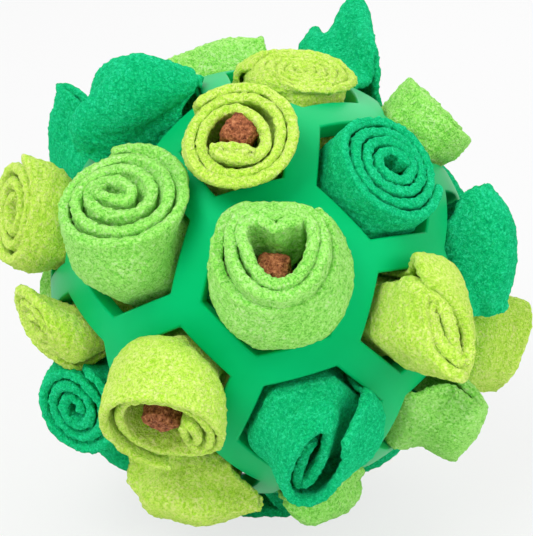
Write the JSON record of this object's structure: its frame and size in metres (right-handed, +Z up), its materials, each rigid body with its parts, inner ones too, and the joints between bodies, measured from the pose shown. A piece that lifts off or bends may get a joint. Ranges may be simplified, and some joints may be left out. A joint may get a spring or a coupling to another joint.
{
  "type": "treat ball",
  "caption": "Hollow lattice ball of soft rubber with rolled and folded fleece strips pushed into its holes, in which dry treats are hidden for a dog to find.",
  "frame": {"origin": "on the floor, in the pressed face of the strip that the ball stands on, straight under the middle of the ball", "axes": "+Z up; the side of the ball that the picture shows faces -Y"},
  "size_m": [0.153, 0.1511, 0.1392],
  "materials": {
    "green_rubber": "soft satin rubber",
    "dark_green_fleece": "napped polar fleece",
    "light_green_fleece": "napped polar fleece",
    "lime_fleece": "napped polar fleece",
    "brown_kibble": "matte grainy kibble"
  },
  "bodies": {
    "rubber_ball": {"rubber_ball": "green_rubber"},
    "light_roll_front": {"light_roll_front": "light_green_fleece"},
    "lime_roll_upper_front": {"lime_roll_upper_front": "lime_fleece"},
    "lime_roll_lower_left": {"lime_roll_lower_left": "lime_fleece"},
    "light_roll_left": {"light_roll_left": "light_green_fleece"},
    "dark_roll_upper_right": {"dark_roll_upper_right": "dark_green_fleece"},
    "lime_bud_right": {"lime_bud_right": "lime_fleece"},
    "dark_bud_lower_front": {"dark_bud_lower_front": "dark_green_fleece"},
    "lime_roll_top": {"lime_roll_top": "lime_fleece"},
    "dark_roll_left_low": {"dark_roll_left_low": "dark_green_fleece"},
    "lime_roll_left_middle": {"lime_roll_left_middle": "lime_fleece"},
    "lime_roll_left_upper": {"lime_roll_left_upper": "lime_fleece"},
    "dark_petals_upper_left": {"dark_petals_upper_left": "dark_green_fleece"},
    "dark_flap_back_left": {"dark_flap_back_left": "dark_green_fleece"},
    "light_fold_top_back": {"light_fold_top_back": "light_green_fleece"},
    "dark_peak_back": {"dark_peak_back": "dark_green_fleece"},
    "light_roll_right_upper": {"light_roll_right_upper": "light_green_fleece"},
    "dark_fold_right": {"dark_fold_right": "dark_green_fleece"},
    "lime_roll_far_right": {"lime_roll_far_right": "lime_fleece"},
    "light_flap_lower_right": {"light_flap_lower_right": "light_green_fleece"},
    "light_fold_under_front": {"light_fold_under_front": "light_green_fleece"},
    "lime_petal_lower_left": {"lime_petal_lower_left": "lime_fleece"},
    "dark_fold_lower_left": {"dark_fold_lower_left": "dark_green_fleece"},
    "dark_fold_bottom": {"dark_fold_bottom": "dark_green_fleece"},
    "light_roll_left_back": {"light_roll_left_back": "light_green_fleece"},
    "lime_roll_back_low_left": {"lime_roll_back_low_left": "lime_fleece"},
    "dark_roll_low_right": {"dark_roll_low_right": "dark_green_fleece"},
    "light_roll_low_back": {"light_roll_low_back": "light_green_fleece"},
    "dark_roll_back": {"dark_roll_back": "dark_green_fleece"},
    "lime_roll_back_right": {"lime_roll_back_right": "lime_fleece"},
    "light_roll_back_upper": {"light_roll_back_upper": "light_green_fleece"},
    "lime_bud_back_left": {"lime_bud_back_left": "lime_fleece"},
    "lime_roll_back_middle": {"lime_roll_back_middle": "lime_fleece"},
    "dark_roll_right_back": {"dark_roll_right_back": "dark_green_fleece"},
    "treat_front": {"treat_front": "brown_kibble"},
    "treat_upper_front": {"treat_upper_front": "brown_kibble"},
    "treat_lower_left": {"treat_lower_left": "brown_kibble"}
  },
  "joints": [
    {"name": "light_roll_front_pull", "type": "slide", "parent": "rubber_ball", "child": "light_roll_front", "axis": [0.0543, -0.9404, 0.3357], "range_m": [0, 0.025]},
    {"name": "lime_roll_upper_front_pull", "type": "slide", "parent": "rubber_ball", "child": "lime_roll_upper_front", "axis": [-0.116, -0.5585, 0.8214], "range_m": [0, 0.025]},
    {"name": "lime_roll_lower_left_pull", "type": "slide", "parent": "rubber_ball", "child": "lime_roll_lower_left", "axis": [-0.3839, -0.914, -0.1312], "range_m": [0, 0.025]},
    {"name": "light_roll_left_pull", "type": "slide", "parent": "rubber_ball", "child": "light_roll_left", "axis": [-0.6032, -0.6767, 0.4222], "range_m": [0, 0.025]},
    {"name": "dark_roll_upper_right_pull", "type": "slide", "parent": "rubber_ball", "child": "dark_roll_upper_right", "axis": [0.5093, -0.5178, 0.6873], "range_m": [0, 0.025]},
    {"name": "lime_bud_right_pull", "type": "slide", "parent": "rubber_ball", "child": "lime_bud_right", "axis": [0.6292, -0.7694, 0.1103], "range_m": [0, 0.025]},
    {"name": "dark_bud_lower_front_pull", "type": "slide", "parent": "rubber_ball", "child": "dark_bud_lower_front", "axis": [0.2152, -0.9083, -0.3588], "range_m": [0, 0.025]},
    {"name": "lime_roll_top_pull", "type": "slide", "parent": "rubber_ball", "child": "lime_roll_top", "axis": [0.1331, 0.007, 0.9911], "range_m": [0, 0.025]},
    {"name": "dark_roll_left_low_pull", "type": "slide", "parent": "lime_roll_left_middle", "child": "dark_roll_left_low", "axis": [-0.8486, -0.4816, -0.219], "range_m": [0, 0.025]},
    {"name": "lime_roll_left_middle_pull", "type": "slide", "parent": "rubber_ball", "child": "lime_roll_left_middle", "axis": [-0.8486, -0.4816, -0.219], "range_m": [0, 0.025]},
    {"name": "lime_roll_left_upper_pull", "type": "slide", "parent": "rubber_ball", "child": "lime_roll_left_upper", "axis": [-0.9382, -0.1407, 0.3163], "range_m": [0, 0.025]},
    {"name": "dark_petals_upper_left_pull", "type": "slide", "parent": "rubber_ball", "child": "dark_petals_upper_left", "axis": [-0.5545, -0.0911, 0.8272], "range_m": [0, 0.025]},
    {"name": "dark_flap_back_left_pull", "type": "slide", "parent": "rubber_ball", "child": "dark_flap_back_left", "axis": [-0.7698, 0.4659, 0.4364], "range_m": [0, 0.025]},
    {"name": "light_fold_top_back_pull", "type": "slide", "parent": "rubber_ball", "child": "light_fold_top_back", "axis": [-0.2677, 0.4819, 0.8343], "range_m": [0, 0.025]},
    {"name": "dark_peak_back_pull", "type": "slide", "parent": "rubber_ball", "child": "dark_peak_back", "axis": [0.3428, 0.6247, 0.7016], "range_m": [0, 0.025]},
    {"name": "light_roll_right_upper_pull", "type": "slide", "parent": "rubber_ball", "child": "light_roll_right_upper", "axis": [0.701, 0.0934, 0.707], "range_m": [0, 0.025]},
    {"name": "dark_fold_right_pull", "type": "slide", "parent": "rubber_ball", "child": "dark_fold_right", "axis": [0.9515, -0.2246, 0.2101], "range_m": [0, 0.025]},
    {"name": "lime_roll_far_right_pull", "type": "slide", "parent": "rubber_ball", "child": "lime_roll_far_right", "axis": [0.9382, 0.1407, -0.3163], "range_m": [0, 0.025]},
    {"name": "light_flap_lower_right_pull", "type": "slide", "parent": "rubber_ball", "child": "light_flap_lower_right", "axis": [0.7698, -0.4659, -0.4364], "range_m": [0, 0.025]},
    {"name": "light_fold_under_front_pull", "type": "slide", "parent": "rubber_ball", "child": "light_fold_under_front", "axis": [0.2677, -0.4819, -0.8343], "range_m": [0, 0.025]},
    {"name": "lime_petal_lower_left_pull", "type": "slide", "parent": "rubber_ball", "child": "lime_petal_lower_left", "axis": [-0.3428, -0.6247, -0.7016], "range_m": [0, 0.025]},
    {"name": "dark_fold_lower_left_pull", "type": "slide", "parent": "rubber_ball", "child": "dark_fold_lower_left", "axis": [-0.701, -0.0934, -0.707], "range_m": [0, 0.025]},
    {"name": "dark_fold_bottom_pull", "type": "slide", "parent": "rubber_ball", "child": "dark_fold_bottom", "axis": [-0.1331, -0.007, -0.9911], "range_m": [0, 0.025]},
    {"name": "light_roll_left_back_pull", "type": "slide", "parent": "rubber_ball", "child": "light_roll_left_back", "axis": [-0.9515, 0.2246, -0.2101], "range_m": [0, 0.025]},
    {"name": "lime_roll_back_low_left_pull", "type": "slide", "parent": "rubber_ball", "child": "lime_roll_back_low_left", "axis": [-0.5093, 0.5178, -0.6873], "range_m": [0, 0.025]},
    {"name": "dark_roll_low_right_pull", "type": "slide", "parent": "rubber_ball", "child": "dark_roll_low_right", "axis": [0.5545, 0.0911, -0.8272], "range_m": [0, 0.025]},
    {"name": "light_roll_low_back_pull", "type": "slide", "parent": "rubber_ball", "child": "light_roll_low_back", "axis": [0.116, 0.5585, -0.8214], "range_m": [0, 0.025]},
    {"name": "dark_roll_back_pull", "type": "slide", "parent": "rubber_ball", "child": "dark_roll_back", "axis": [-0.0543, 0.9404, -0.3357], "range_m": [0, 0.025]},
    {"name": "lime_roll_back_right_pull", "type": "slide", "parent": "rubber_ball", "child": "lime_roll_back_right", "axis": [0.6032, 0.6767, -0.4222], "range_m": [0, 0.025]},
    {"name": "light_roll_back_upper_pull", "type": "slide", "parent": "rubber_ball", "child": "light_roll_back_upper", "axis": [-0.2152, 0.9083, 0.3588], "range_m": [0, 0.025]},
    {"name": "lime_bud_back_left_pull", "type": "slide", "parent": "rubber_ball", "child": "lime_bud_back_left", "axis": [-0.6292, 0.7694, -0.1103], "range_m": [0, 0.025]},
    {"name": "lime_roll_back_middle_pull", "type": "slide", "parent": "rubber_ball", "child": "lime_roll_back_middle", "axis": [0.3839, 0.914, 0.1312], "range_m": [0, 0.025]},
    {"name": "dark_roll_right_back_pull", "type": "slide", "parent": "rubber_ball", "child": "dark_roll_right_back", "axis": [0.8486, 0.4816, 0.219], "range_m": [0, 0.025]},
    {"name": "treat_front_pull", "type": "slide", "parent": "light_roll_front", "child": "treat_front", "axis": [-0.1157, -0.5773, 0.8083], "range_m": [0, 0.02]},
    {"name": "treat_upper_front_pull", "type": "slide", "parent": "lime_roll_upper_front", "child": "treat_upper_front", "axis": [0.1399, -0.8267, 0.545], "range_m": [0, 0.02]},
    {"name": "treat_lower_left_pull", "type": "slide", "parent": "lime_roll_lower_left", "child": "treat_lower_left", "axis": [-0.238, -0.7107, -0.662], "range_m": [0, 0.02]}
  ]
}
